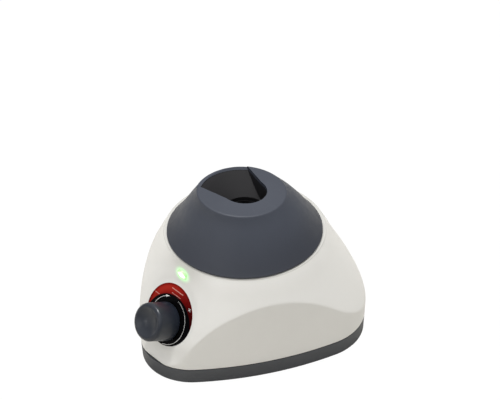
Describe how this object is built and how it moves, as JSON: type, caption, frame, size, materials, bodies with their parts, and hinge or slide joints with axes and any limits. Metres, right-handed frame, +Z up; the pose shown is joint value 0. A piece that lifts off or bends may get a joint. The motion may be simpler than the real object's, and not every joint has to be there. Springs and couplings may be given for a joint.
{
  "type": "vortex mixer",
  "caption": "Compact laboratory vortex mixer: rounded three-sided housing, dome-shaped orbiting head with a notched tube recess, and a sloping front speed knob.",
  "frame": {"origin": "on the bench plane, under the motor's axis", "axes": "+Z up along the motor's axis, -Y towards the user and the control knob, +X to the user's right"},
  "size_m": [0.154, 0.1726, 0.1251],
  "materials": {
    "off_white_plastic": "satin moulded",
    "dark_base": "dark grey powder coat",
    "hood_grey": "soft-touch dark blue-grey",
    "cup_rubber": "black moulded",
    "black_rubber": "matte",
    "knob_grey": "soft-touch dark blue-grey",
    "dial_print": "black and red glossy print",
    "green_lens": "clear green, lit",
    "steel": "zinc plated",
    "dark_steel": "black oxide",
    "lamination": "stacked laminations",
    "copper": "enamelled wire",
    "brass": "turned",
    "alloy": "machined",
    "pcb": "solder mask",
    "black_plastic": "moulded",
    "white_plastic": "moulded",
    "cable_jacket": "extruded",
    "magnet": "sintered",
    "lamp": "clear"
  },
  "bodies": {
    "frame": {"sole": "black_rubber", "base_tray": "dark_base", "housing_seal": "black_rubber", "upper_housing": "off_white_plastic", "housing_screws": "steel", "motor_standoffs": "steel", "motor_grommets": "black_rubber", "motor_plate_screws": "steel", "motor_plate": "steel", "motor_can": "dark_steel", "motor_cover": "alloy", "motor_screws": "steel", "bushing_upper": "brass", "bushing_lower": "brass", "stator_core": "lamination", "stator_windings": "copper", "dial_plate": "dial_print", "control_pot": "black_plastic", "pot_terminals": "steel", "pot_washer": "steel", "pot_nut": "steel", "led_lens": "green_lens", "led_lamp": "lamp", "led_board": "pcb", "control_board": "pcb", "board_screws": "steel", "capacitors": "black_plastic", "heat_sink": "alloy", "power_transistor": "black_plastic", "control_chips": "black_plastic", "board_headers": "white_plastic", "power_inlet": "black_plastic", "inlet_nut": "steel", "touch_switch": "black_plastic", "touch_lever": "steel", "switch_bracket": "steel", "harness_motor": "cable_jacket", "harness_power": "cable_jacket", "harness_dial": "cable_jacket", "harness_led": "cable_jacket"},
    "rotor": {"motor_shaft": "steel", "rotor_core": "lamination", "rotor_magnets": "magnet", "crank": "steel", "crank_setscrew": "dark_steel", "counterweight": "brass", "balance_screws": "steel", "bearing_inner_race": "steel", "pin_screw": "steel"},
    "head": {"hood": "hood_grey", "tube_cup": "cup_rubber", "head_hub": "alloy", "hood_screws": "steel", "bearing_outer_race": "steel", "bearing_balls": "steel", "bearing_shields": "black_rubber"},
    "knob": {"speed_knob": "knob_grey", "knob_insert": "brass", "pot_spindle": "steel"}
  },
  "joints": [
    {"name": "motor_spin", "type": "hinge", "parent": "frame", "child": "rotor", "pos_m": [0, 0, 0.06], "axis": [0, 0, 1], "continuous": true},
    {"name": "cup_orbit", "type": "hinge", "parent": "rotor", "child": "head", "pos_m": [0.00159, -0.00159, 0.0755], "axis": [0, 0, 1], "continuous": true},
    {"name": "speed_dial", "type": "hinge", "parent": "frame", "child": "knob", "pos_m": [0, -0.07444, 0.04258], "axis": [0, -0.89, 0.456], "range_deg": [-140, 140]}
  ],
  "couplings": [
    {"joint": "cup_orbit", "follows": "motor_spin", "ratio": -1}
  ]
}
